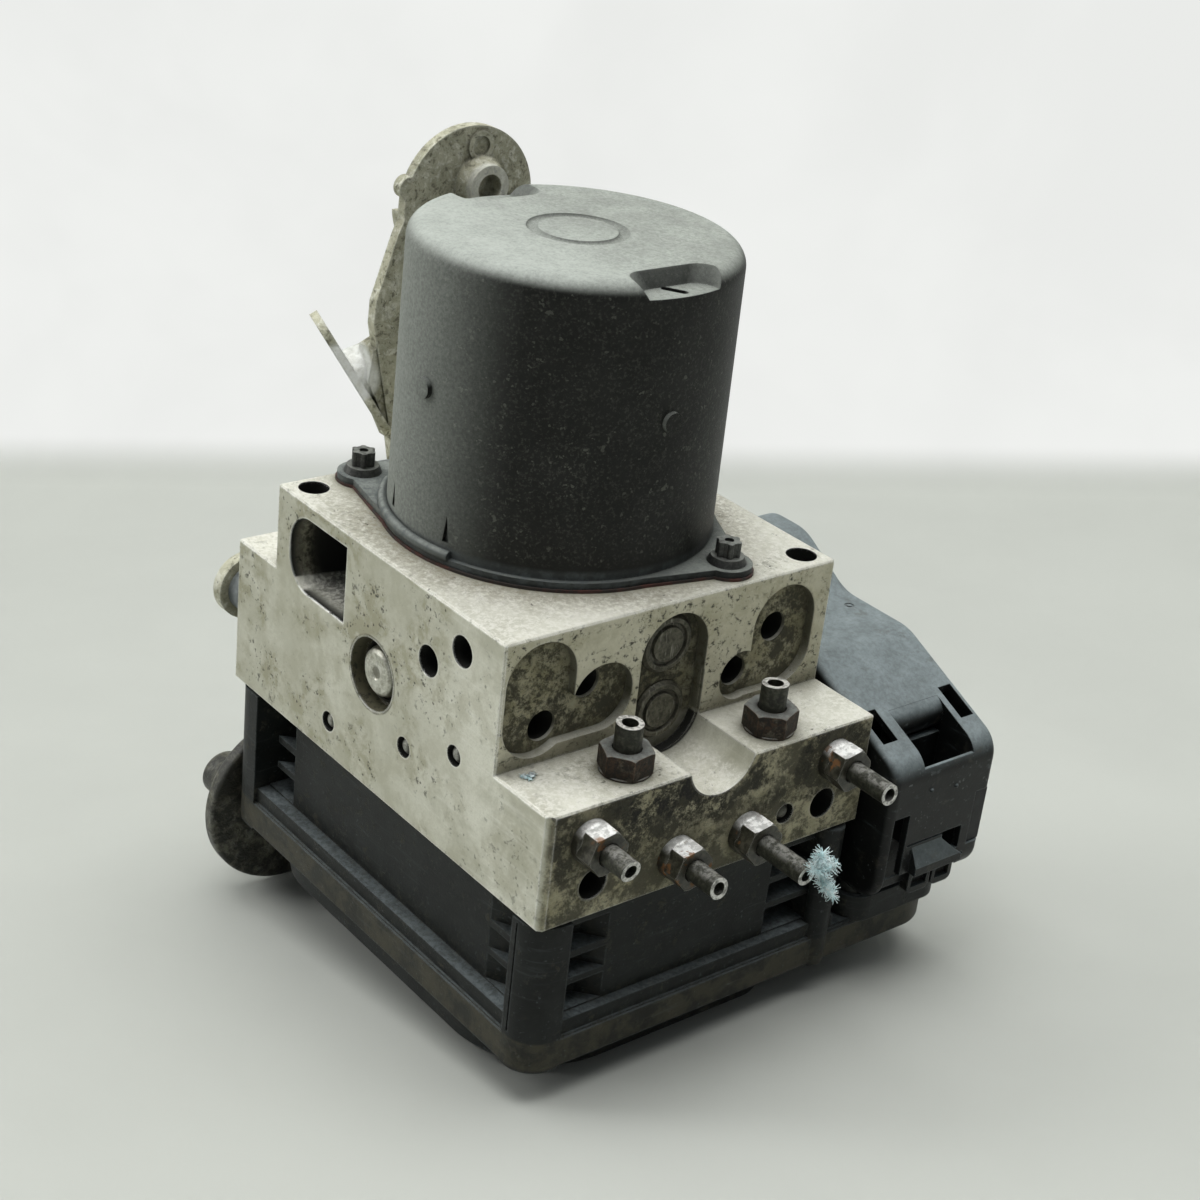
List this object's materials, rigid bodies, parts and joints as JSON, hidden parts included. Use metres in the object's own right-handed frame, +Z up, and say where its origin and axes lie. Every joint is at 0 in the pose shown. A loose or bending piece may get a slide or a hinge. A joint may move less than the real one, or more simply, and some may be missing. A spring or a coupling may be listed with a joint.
{
  "type": "abs brake module",
  "caption": "Anti-lock brake hydraulic unit: machined block with pump motor, control unit with plug below, cut brake pipes and a cast mounting bracket.",
  "frame": {"origin": "mouth of the locating hole at the front right corner of the block's top face", "axes": "+Z up out of the block's top face along the motor shaft, +X to the plug's side, +Y back to the bracket"},
  "size_m": [0.1449, 0.1902, 0.2135],
  "materials": {
    "block_metal": "machined aluminium, pitted and grimy",
    "motor_coat": "dusty black coating",
    "gasket": "red-brown gasket sheet",
    "seal": "soft seal rubber",
    "steel": "plain steel, worn",
    "zinc_nut": "zinc plated with rust spots",
    "rusty_nut": "rusted plating",
    "pipe": "coated pipe with cut ends",
    "magnet": "sintered magnet",
    "copper": "copper",
    "unit_plastic": "moulded plastic, dusty",
    "hood_plastic": "smooth moulded plastic",
    "plug_plastic": "moulded plastic",
    "board": "laminate",
    "cast_bracket": "rough cast, dirty",
    "cloth": "lint of pale blue cloth"
  },
  "bodies": {
    "module": {"hydraulic_block": "block_metal", "sealing_balls": "steel", "motor_gasket": "gasket", "motor_can": "motor_coat", "motor_bolts": "steel", "field_magnets": "magnet", "brush_plate": "unit_plastic", "can_bearing": "steel", "block_bearing": "steel", "motor_feed_pin": "unit_plastic", "pump_plug_left": "steel", "pump_plug_right": "steel", "accumulator_cap_upper": "steel", "accumulator_cap_lower": "steel", "inlet_valves": "steel", "outlet_valves": "steel", "switching_valves": "steel", "pressure_sensor": "steel", "valve_coils": "copper", "front_tube_nuts": "zinc_nut", "top_tube_nuts": "rusty_nut", "front_pipe_stubs": "pipe", "top_pipe_stubs": "pipe", "ecu_housing": "unit_plastic", "connector_pins": "copper", "ecu_gasket": "seal", "circuit_board": "board", "ecu_cover": "unit_plastic", "bracket": "cast_bracket", "bracket_foot_left": "cast_bracket", "bracket_foot_right": "cast_bracket", "bracket_spacers": "steel", "bracket_bolts": "steel", "rag_tuft": "cloth", "rag_scrap": "cloth"},
    "rotor": {"rotor_shaft": "steel", "eccentric_bearing": "steel", "armature": "steel", "armature_windings": "copper", "commutator": "copper"},
    "pump_left": {"pump_piston_left": "steel", "pump_spring_left": "steel"},
    "pump_right": {"pump_piston_right": "steel", "pump_spring_right": "steel"},
    "accumulator_upper": {"accumulator_piston_upper": "steel", "accumulator_spring_upper": "steel"},
    "accumulator_lower": {"accumulator_piston_lower": "steel", "accumulator_spring_lower": "steel"},
    "plug": {"plug_hood": "hood_plastic", "plug_body": "plug_plastic", "plug_seal": "seal"}
  },
  "joints": [
    {"name": "rotor_spin", "type": "hinge", "parent": "module", "child": "rotor", "pos_m": [-0.0441, 0.0449, -0.0033], "axis": [0, 0, 1], "continuous": true},
    {"name": "pump_stroke_left", "type": "slide", "parent": "module", "child": "pump_left", "axis": [-1, 0, 0], "range_m": [0, 0.0024], "stiffness_N_per_m": 900, "springref_m": -0.004},
    {"name": "pump_stroke_right", "type": "slide", "parent": "module", "child": "pump_right", "axis": [1, 0, 0], "range_m": [0, 0.0024], "stiffness_N_per_m": 900, "springref_m": -0.004},
    {"name": "accumulator_stroke_upper", "type": "slide", "parent": "module", "child": "accumulator_upper", "axis": [0, -1, 0], "range_m": [0, 0.004], "stiffness_N_per_m": 3000, "springref_m": -0.004},
    {"name": "accumulator_stroke_lower", "type": "slide", "parent": "module", "child": "accumulator_lower", "axis": [0, -1, 0], "range_m": [0, 0.004], "stiffness_N_per_m": 3000, "springref_m": -0.004},
    {"name": "plug_pull", "type": "slide", "parent": "module", "child": "plug", "axis": [0, 0, 1], "range_m": [0, 0.024]}
  ]
}
